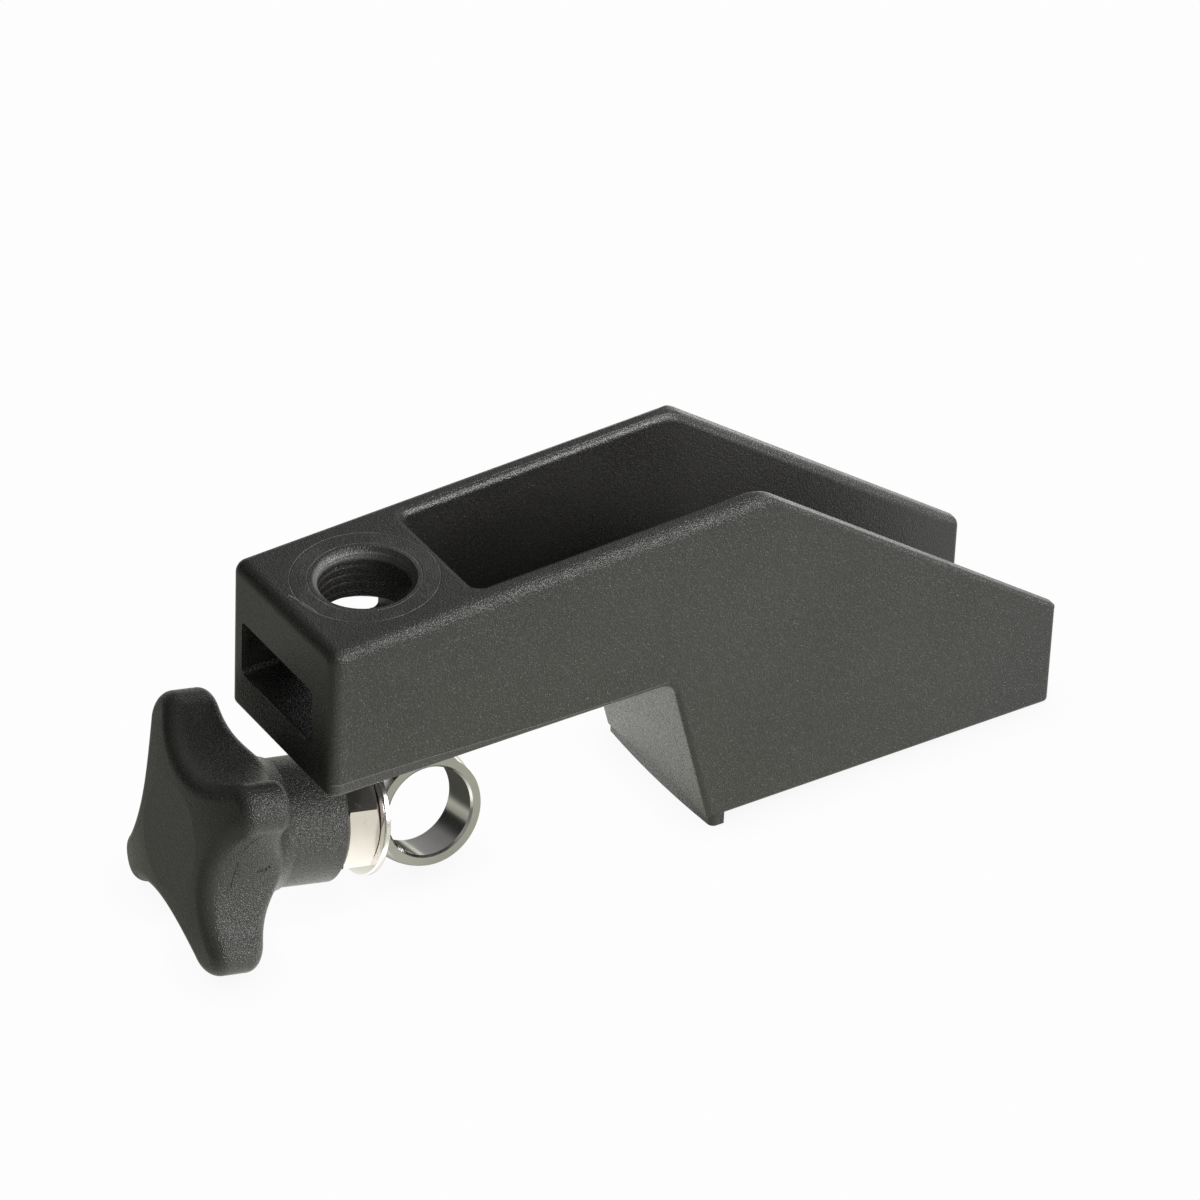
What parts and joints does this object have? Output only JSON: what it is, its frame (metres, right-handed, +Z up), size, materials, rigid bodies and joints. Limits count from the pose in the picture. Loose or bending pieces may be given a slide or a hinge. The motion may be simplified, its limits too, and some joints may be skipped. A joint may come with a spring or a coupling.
{
  "type": "spigot fork bracket with clamping eyebolt",
  "caption": "Hooked fork bracket with an upright spigot socket, a cross slot and a loose ball-eye bolt that a four-lobe star knob tightens.",
  "frame": {"origin": "on the spigot socket's axis, level with the underside of the arm", "axes": "+X from the socket block towards the fork's open end, +Y towards the side wall with the window, +Z up along the socket"},
  "size_m": [0.1704, 0.0415, 0.0694],
  "materials": {
    "black_nylon": "fine moulded grain",
    "stainless": "polished stainless steel",
    "washer_steel": "bright zinc plated steel",
    "nickel_brass": "nickel plated brass",
    "knob_nylon": "fine moulded grain"
  },
  "bodies": {
    "body": {"clamp_body": "black_nylon"},
    "eyebolt": {"eyebolt": "stainless"},
    "washer": {"washer": "washer_steel"},
    "knob": {"knob": "knob_nylon", "knob_bush": "nickel_brass"}
  },
  "joints": [
    {"name": "eyebolt_draw", "type": "slide", "parent": "body", "child": "eyebolt", "axis": [-1, 0, 0], "range_m": [0, 0.07]},
    {"name": "knob_advance", "type": "slide", "parent": "eyebolt", "child": "washer", "axis": [-0.9838, 0.0762, 0.1625], "range_m": [0, 0.0091]},
    {"name": "knob_turn", "type": "hinge", "parent": "washer", "child": "knob", "pos_m": [0.01296, 0.00177, -0.0231], "axis": [-0.9838, 0.0762, 0.1625], "range_deg": [0, 2160]}
  ],
  "couplings": [
    {"joint": "knob_advance", "follows": "knob_turn", "m_per_rad": 0.00023873}
  ]
}
